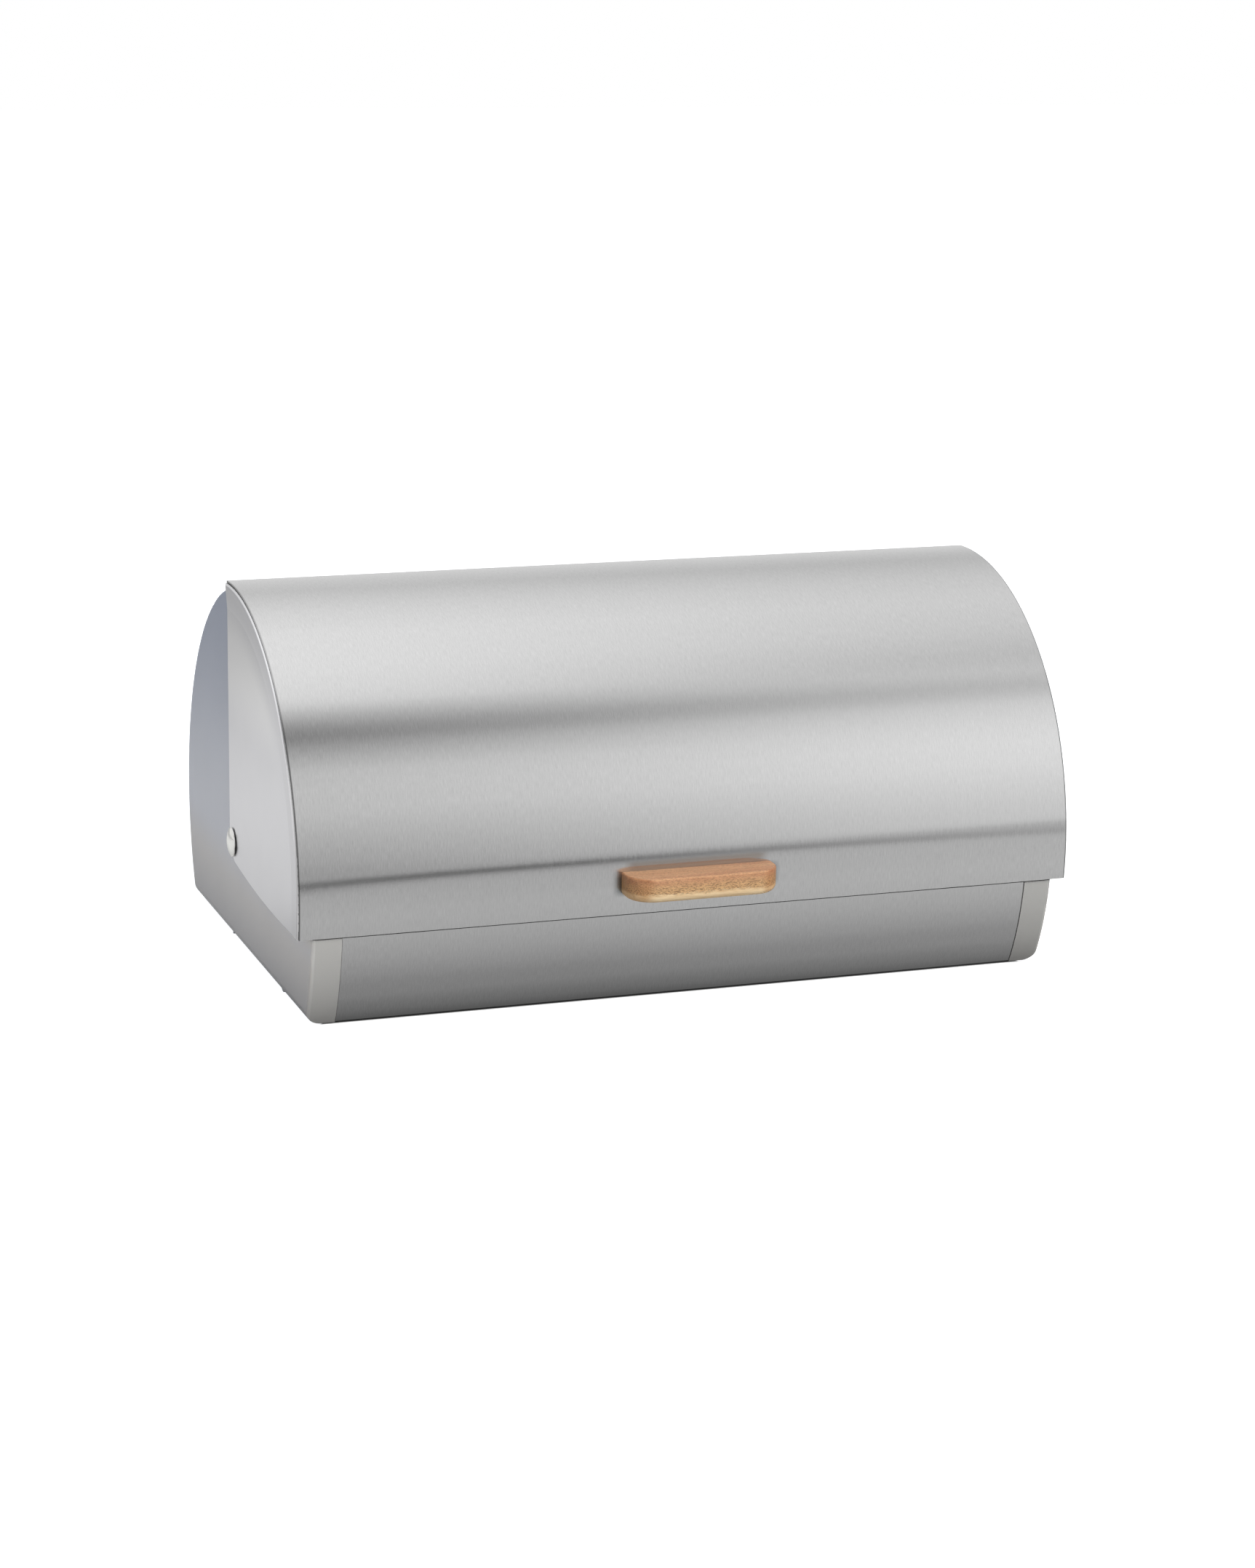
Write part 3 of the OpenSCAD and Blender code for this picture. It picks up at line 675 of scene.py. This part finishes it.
def brushed_steel(name, dress=None):
    material, tree, shader = new_material(name)
    shader.inputs["Metallic"].default_value = 1.0
    shader.inputs["Anisotropic"].default_value = 0.85
    shader.inputs["Anisotropic Rotation"].default_value = 0.25
    around = add_node(tree, "ShaderNodeTangent", direction_type="RADIAL", axis="X")
    join(tree, around.outputs[0], shader.inputs["Tangent"])
    marks = add_node(tree, "ShaderNodeGroup", {"Density": SCRATCH_DENSITY}, node_tree=BRUSH)
    join(tree, place_on(tree), marks.inputs["Vector"])
    fine = maths(tree, "MULTIPLY", marks.outputs["Fine"], 0.85)
    broad = maths(tree, "MULTIPLY", marks.outputs["Broad"], 0.15)
    tint = varied(tree, maths(tree, "ADD", fine, broad), SHEET_GREY, 0.075)
    if dress:
        tint = dress(tree, tint)
    join(tree, tint, shader.inputs["Base Color"])
    surface(tree, shader, marks.outputs["Fine"], 0.16, 0.04, 0.000012)
    return material


STEEL = brushed_steel("brushed_steel")
LID_STEEL = brushed_steel("lid_steel", lid_dress)
print("steels:", STEEL.name, LID_STEEL.name)

# %% [markdown]
# ### Moulded plastic
#
# The end caps are a silver-grey plastic with a very fine spark grain. Rubber, nylon and the
# small metal parts have a grain as well, each at its own scale. One node group gives it to
# all of them: fine noise for the surface, and the same with a slow cloud for the colour.

# %% Speckle, as a node group
CLOUD_SCALE = 1 / 60


def speckle_group():
    group, given, result = group_faces("speckle", (("Grain", 1500.0),), ("Fine", "Shade"))
    noise = add_node(group, "ShaderNodeTexNoise", {"Detail": 3.0, "Roughness": 0.6})
    cloud = add_node(group, "ShaderNodeTexNoise", {"Detail": 2.0})
    join(group, given["Grain"], noise.inputs["Scale"])
    join(group, maths(group, "MULTIPLY", given["Grain"], CLOUD_SCALE), cloud.inputs["Scale"])
    for texture in (noise, cloud):
        join(group, given["Vector"], texture.inputs["Vector"])
    both = maths(group, "ADD", noise.outputs["Fac"], cloud.outputs["Fac"])
    join(group, noise.outputs["Fac"], result["Fine"])
    join(group, maths(group, "MULTIPLY", both, 0.5), result["Shade"])
    return group


SPECKLE = speckle_group()
print("speckle:", [s.name for s in SPECKLE.interface.items_tree])

# %% [markdown]
# Two of these pieces need more than speckle. The end cap has a painted shade in the seam beside
# the sheet, a painted highlight along its outer edge, and painted light on its side wall, which
# is slightly warmer near its foot and slightly bluer above. The rivet's head has painted shade
# where it is cut under. All of it follows the distance from the middle of the box, so both
# sides share one mask.

# %% Dress of the end caps and rivets
# painted shade in the seam and under the rivet's head, and a painted highlight on the cap's edge
SEAM_SHADE, EDGE_HIGHLIGHT, UNDERCUT_SHADE = (0.03, 0.03, 0.03), (0.50, 0.495, 0.48), (0.07, 0.07, 0.07)
# painted light on the side wall: warmer at its foot, bluer above
WALL_LIGHT_LOW, WALL_LIGHT_HIGH = (1.014, 0.972, 0.930), (0.970, 0.985, 1.050)


def cap_dress(tree, tint):
    axes = axes_of(tree, place_on(tree))
    reach = maths(tree, "ABSOLUTE", axes["X"])
    # painted shade in the seam beside the sheet
    seam = band(tree, reach, seam_x - 0.0012, seam_x - 0.0009, seam_x - 0.0002, seam_x)
    tint = mixed(tree, seam, tint, SEAM_SHADE)
    # painted highlight along the cap's outer edge
    edge = band(tree, reach, cap_x - 0.0020, cap_x - 0.0015, cap_x - 0.0006, cap_x - 0.0002)
    tint = mixed(tree, edge, tint, EDGE_HIGHLIGHT)
    # painted light: the side wall is warmer near its foot and bluer above
    wall_light = mixed(tree, stepped(tree, axes["Z"], 0.028, 0.056), WALL_LIGHT_LOW, WALL_LIGHT_HIGH)
    wall = between(tree, reach, cap_x - 0.0012, cap_x - 0.0004)
    return mixed(tree, wall, tint, wall_light, "MULTIPLY")


def rivet_dress(tree, tint):
    reach = maths(tree, "ABSOLUTE", axes_of(tree, place_on(tree))["X"])
    # painted shade under the rivet's head
    head = between(tree, reach, rivet_x - 0.0025, rivet_x - 0.0022)
    return mixed(tree, head, UNDERCUT_SHADE, tint)


print("seam at", round(seam_x, 4), "cap ends at", round(cap_x, 4))

# %% [markdown]
# A speckled finish is one Principled shader with the group in front of it. Its values are
# what tell plastic from rubber and steel: colour, roughness, how fine the grain is, how much
# the colour wanders, how deep the relief is, and whether it is metal.

# %% Plastic, rubber and small metal
def speckled(name, colour, roughness, grain, spread, depth, metallic=0.0, dress=None):
    material, tree, shader = new_material(name)
    shader.inputs["Metallic"].default_value = metallic
    speckle = add_node(tree, "ShaderNodeGroup", {"Grain": grain}, node_tree=SPECKLE)
    join(tree, place_on(tree), speckle.inputs["Vector"])
    tint = varied(tree, speckle.outputs["Shade"], colour, spread)
    if dress:
        tint = dress(tree, tint)
    join(tree, tint, shader.inputs["Base Color"])
    surface(tree, shader, speckle.outputs["Fine"], roughness, 0.05, depth)
    return material


CAP_PLASTIC = speckled(
    "cap_plastic", (0.43, 0.425, 0.412), 0.42, 1800, 0.03, 0.00001, dress=cap_dress,
)
CHEEK_STEEL = speckled("satin_steel", (0.80, 0.80, 0.82), 0.30, 2500, 0.02, 0.000002, 1.0)
RUBBER = speckled("rubber", (0.05, 0.05, 0.052), 0.75, 2500, 0.15, 0.00002)
NYLON = speckled("nylon", (0.78, 0.77, 0.72), 0.45, 900, 0.02, 0.00001)
RIVET_STEEL = speckled(
    "rivet_steel", (0.92, 0.92, 0.89), 0.20, 1500, 0.03, 0.000003, 1.0, rivet_dress,
)
SCREW_STEEL = speckled("screw_steel", (0.72, 0.72, 0.72), 0.28, 1200, 0.05, 0.000005, 1.0)
print("plain finishes: plastic, rubber, nylon and three more steels")

# %% [markdown]
# The rim of each cheek is bent round to meet the lid, and the bend catches the light as one
# thin bright line. It is too fine for the solid, so it is a bump: the height falls away over
# nearly two millimetres, close to the rim. The base colour is also made paler there, as a painted
# highlight on the bend, and high up on the plate, away from its rim, as painted light.

# %% Bend line of the cheeks
BEND_START, BEND_END = lid_r - 0.0026, lid_r - 0.0008
BEND_DEPTH = 0.0012

tree = CHEEK_STEEL.node_tree
shader = tree.nodes["Principled BSDF"]
centred = from_hinge(tree, place_on(tree))
flat = add_node(tree, "ShaderNodeVectorMath", operation="MULTIPLY")
flat.inputs[1].default_value = (0, 1, 1)
join(tree, centred, flat.inputs[0])
length = add_node(tree, "ShaderNodeVectorMath", operation="LENGTH")
join(tree, flat.outputs[0], length.inputs[0])
radius = length.outputs["Value"]
rim = between(tree, radius, BEND_START, BEND_END)

# painted highlight on the rim's bend and painted light high on the plate make the colour paler
high_up = stepped(tree, axes_of(tree, centred)["Z"], 0.055, 0.090)
plate = opposite(tree, stepped(tree, radius, lid_r - 0.030, lid_r - 0.006))
rim_highlight = maths(tree, "MULTIPLY", rim, opposite(tree, maths(tree, "MULTIPLY", high_up, 0.7)))
painted_brightness = maths(tree, "ADD", rim_highlight, maths(tree, "MULTIPLY", high_up, plate))
speckles = shader.inputs["Base Color"].links[0].from_socket
join(tree, mixed(tree, painted_brightness, speckles, (1.0, 1.0, 1.0)), shader.inputs["Base Color"])

fall = maths(tree, "MULTIPLY", maths(tree, "MULTIPLY", rim, rim), -1.0)
bend = add_node(tree, "ShaderNodeBump", {"Strength": 1.0, "Distance": BEND_DEPTH})
join(tree, fall, bend.inputs["Height"])
join(tree, shader.inputs["Normal"].links[0].from_socket, bend.inputs["Normal"])
join(tree, bend.outputs[0], shader.inputs["Normal"])
print("bend line: from radius", round(BEND_START, 4))

# %% [markdown]
# ### Oiled wood
#
# The handle is sawn from a light hardwood. Its long grain runs from end to end, so on top it
# shows as fine reddish streaks. A wave texture could draw its rings, but it is very regular,
# so the grain and the rings are noise that is stretched along the block.

# %% Grain and rings
def layered(tree, vector, scale, detail, roughness=0.6):
    stretch = add_node(tree, "ShaderNodeMapping", {"Scale": scale})
    join(tree, vector, stretch.inputs["Vector"])
    noise = add_node(tree, "ShaderNodeTexNoise", {
        "Scale": 1.0, "Detail": detail, "Roughness": roughness, "Distortion": 0.2,
    })
    join(tree, stretch.outputs[0], noise.inputs["Vector"])
    return noise.outputs["Fac"]


WOOD, tree, wood_shader = new_material("oiled_wood")
where = place_on(tree)
level = maths(tree, "SUBTRACT", axes_of(tree, where)["Z"], handle_low.z)
grain = layered(tree, where, (45, 700, 700), 4.0)
rings = layered(tree, where, (9, 190, 260), 2.0)
streaks = ramp(tree, grain, [
    (0.30, (0.47, 0.215, 0.105)), (0.50, (0.60, 0.31, 0.165)), (0.70, (0.70, 0.40, 0.23)),
])
reddish = mixed(tree, stepped(tree, rings, 0.42, 0.62), (0.56, 0.27, 0.14), (0.72, 0.42, 0.22))
colour = mixed(tree, 0.5, streaks, reddish)
print("wood starts at height", round(handle_low.z, 4))

# %% [markdown]
# The sides cut across soft and hard layers. Their middle is honey-coloured, open pores show
# as short dark flecks, and a pale strip runs along the lower edge. Each layer has a ragged
# border: a little noise is added to the height before the mask is taken.

# %% Layers on the sides
HONEY, PORE = (0.68, 0.43, 0.20), (0.16, 0.085, 0.040)
STRIP_DARK, STRIP_PALE = (0.74, 0.52, 0.29), (0.88, 0.67, 0.41)
RAGGED = 0.0036

ragged = maths(
    tree, "MULTIPLY_ADD", layered(tree, where, (260, 260, 900), 3.0), RAGGED, level,
)
honey = opposite(tree, stepped(tree, ragged, 0.0070, 0.0138))
colour = mixed(tree, maths(tree, "MULTIPLY", honey, 0.75), colour, HONEY)
# the pores lie thickest just above the pale strip
pores = stepped(tree, layered(tree, where, (900, 1700, 2800), 3.0, 0.75), 0.44, 0.62)
low_band = opposite(tree, stepped(tree, ragged, 0.0060, 0.0140))
high_band = maths(tree, "MULTIPLY_ADD", stepped(tree, ragged, 0.0040, 0.0062), 0.78, 0.22)
strong = maths(tree, "MULTIPLY_ADD", low_band, 0.45, 0.42)
fleck = maths(tree, "MULTIPLY", pores, maths(tree, "MULTIPLY", strong, high_band))
colour = mixed(tree, fleck, colour, PORE)
lower_strip = opposite(tree, stepped(tree, ragged, 0.0046, 0.0072))
strip_colour = mixed(tree, stepped(tree, grain, 0.35, 0.65), STRIP_DARK, STRIP_PALE)
colour = mixed(tree, lower_strip, colour, strip_colour)
print("wood layers: honey, pores, sapwood")

# %% [markdown]
# End grain drinks more oil than long grain, so the two ends are darker, and the darkening is
# partly painted shade as well. The direction that the surface faces tells where they are. The
# pores are sunk a little into the relief.

# %% End grain and surface of the wood
END_GRAIN_AND_SHADE = (0.82, 0.70, 0.60)

facing = axes_of(tree, add_node(tree, "ShaderNodeTexCoord").outputs["Normal"])
ends = stepped(tree, maths(tree, "ABSOLUTE", facing["X"]), 0.05, 0.50)
# the ends darken: partly end grain, partly painted shade
colour = mixed(tree, ends, colour, END_GRAIN_AND_SHADE, "MULTIPLY")
join(tree, colour, wood_shader.inputs["Base Color"])
join(tree, between(tree, grain, 0.0, 1.0, 0.38, 0.58), wood_shader.inputs["Roughness"])
relief = maths(tree, "SUBTRACT", grain, maths(tree, "MULTIPLY", fleck, 0.8))
bump = add_node(tree, "ShaderNodeBump", {"Strength": 1.0, "Distance": 0.00004})
join(tree, relief, bump.inputs["Height"])
join(tree, bump.outputs[0], wood_shader.inputs["Normal"])
print("wood:", len(tree.nodes), "nodes")

# %% [markdown]
# Each solid names the finish that it is made in, so one loop dresses them all. The lid's
# sheet is the one exception: it is the common steel with its own masks.

# %% Give every solid its finish
FINISHES = {
    "steel": STEEL, "cheek_steel": CHEEK_STEEL, "cap_plastic": CAP_PLASTIC, "rubber": RUBBER,
    "nylon": NYLON, "rivet_steel": RIVET_STEEL, "screw_steel": SCREW_STEEL, "wood": WOOD,
}
for part in frame["record"]["subparts"]:
    solid = nodes[part["node"]]
    solid.material_slots[0].material = FINISHES[part["material_slot"]]
nodes["lid_sheet"].material_slots[0].material = LID_STEEL

# %% [markdown]
# ## The handle
#
# The exact solid of the handle has the right form, but its small roundings are made of a few
# flats. Wood is never that crisp, so the block is made again: a plain block whose two front
# corners are rounded first, then its lower rim, and last a fine rounding of the upper rim.
# A bevel modifier has one width for all edges, so each rounding is an operator of its own.

# %% Handle block
FRONT_CORNER = 0.013
LOWER_RIM = 0.0035
UPPER_RIM = 0.0009
TOUCH = 1e-6


def rim_edges(shape, level, back):
    flat = [e for e in shape.edges if all(abs(v.co.z - level) < TOUCH for v in e.verts)]
    return [e for e in flat if not all(abs(v.co.y - back) < TOUCH for v in e.verts)]


shape = bmesh.new()
bmesh.ops.create_cube(shape, size=1)
bmesh.ops.scale(shape, vec=handle_high - handle_low, verts=shape.verts)
bmesh.ops.translate(shape, vec=(handle_low + handle_high) / 2, verts=shape.verts)
upright = [
    e for e in shape.edges
    if all(abs(v.co.y - handle_low.y) < TOUCH for v in e.verts)
    and abs(e.verts[0].co.z - e.verts[1].co.z) > 1e-4
]
bmesh.ops.bevel(
    shape, geom=upright, offset=FRONT_CORNER, offset_type="OFFSET", affect="EDGES",
    segments=20, profile=0.5, material=-1,
)
for level, size, steps in ((handle_low.z, LOWER_RIM, 8), (handle_high.z, UPPER_RIM, 4)):
    bmesh.ops.bevel(
        shape, geom=rim_edges(shape, level, handle_high.y), offset=size, offset_type="OFFSET",
        affect="EDGES", segments=steps, profile=0.5, material=-1,
    )
print("block rounded:", len(shape.faces), "faces")

# %% [markdown]
# The back is hollowed to sit on the curve of the lid. Level cuts first give it points to
# bend at, and each point of the back then moves onto the lid's circle. The smoothed faces
# keep a crisp edge where two of them meet at more than 35 degrees.

# %% Fit the handle to the lid
LEVEL_CUTS = 6
BACK_GAP = 0.00003

for step in range(1, LEVEL_CUTS):
    cut = handle_low.z + (handle_high.z - handle_low.z) * step / LEVEL_CUTS
    bmesh.ops.bisect_plane(
        shape, geom=[*shape.verts, *shape.edges, *shape.faces],
        plane_co=(0, 0, cut), plane_no=(0, 0, 1),
    )
for point in shape.verts:
    if abs(point.co.y - handle_high.y) < TOUCH:
        drop = math.sqrt(lid_r ** 2 - (point.co.z - hinge.z) ** 2)
        point.co.y = hinge.y - drop - BACK_GAP
bmesh.ops.recalc_face_normals(shape, faces=shape.faces)
for face in shape.faces:
    face.smooth = True
mesh = bpy.data.meshes.new("handle_block")
shape.to_mesh(mesh)
shape.free()
mesh.set_sharp_from_angle(angle=math.radians(35))
handle_block = bpy.data.objects.new("handle_block", mesh)
bpy.context.scene.collection.objects.link(handle_block)
mesh.materials.append(WOOD)
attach(handle_block, "lid")
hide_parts("handle")
print("handle block:", len(mesh.polygons), "faces")

# %% [markdown]
# Dressing an object must not change its size. So the box of the exact solids, printed at the
# start, is printed again here for the finished model.

# %% Print the size of the finished model
low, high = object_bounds()
print("finished model:", [round(b - a, 4) for a, b in zip(low, high)])
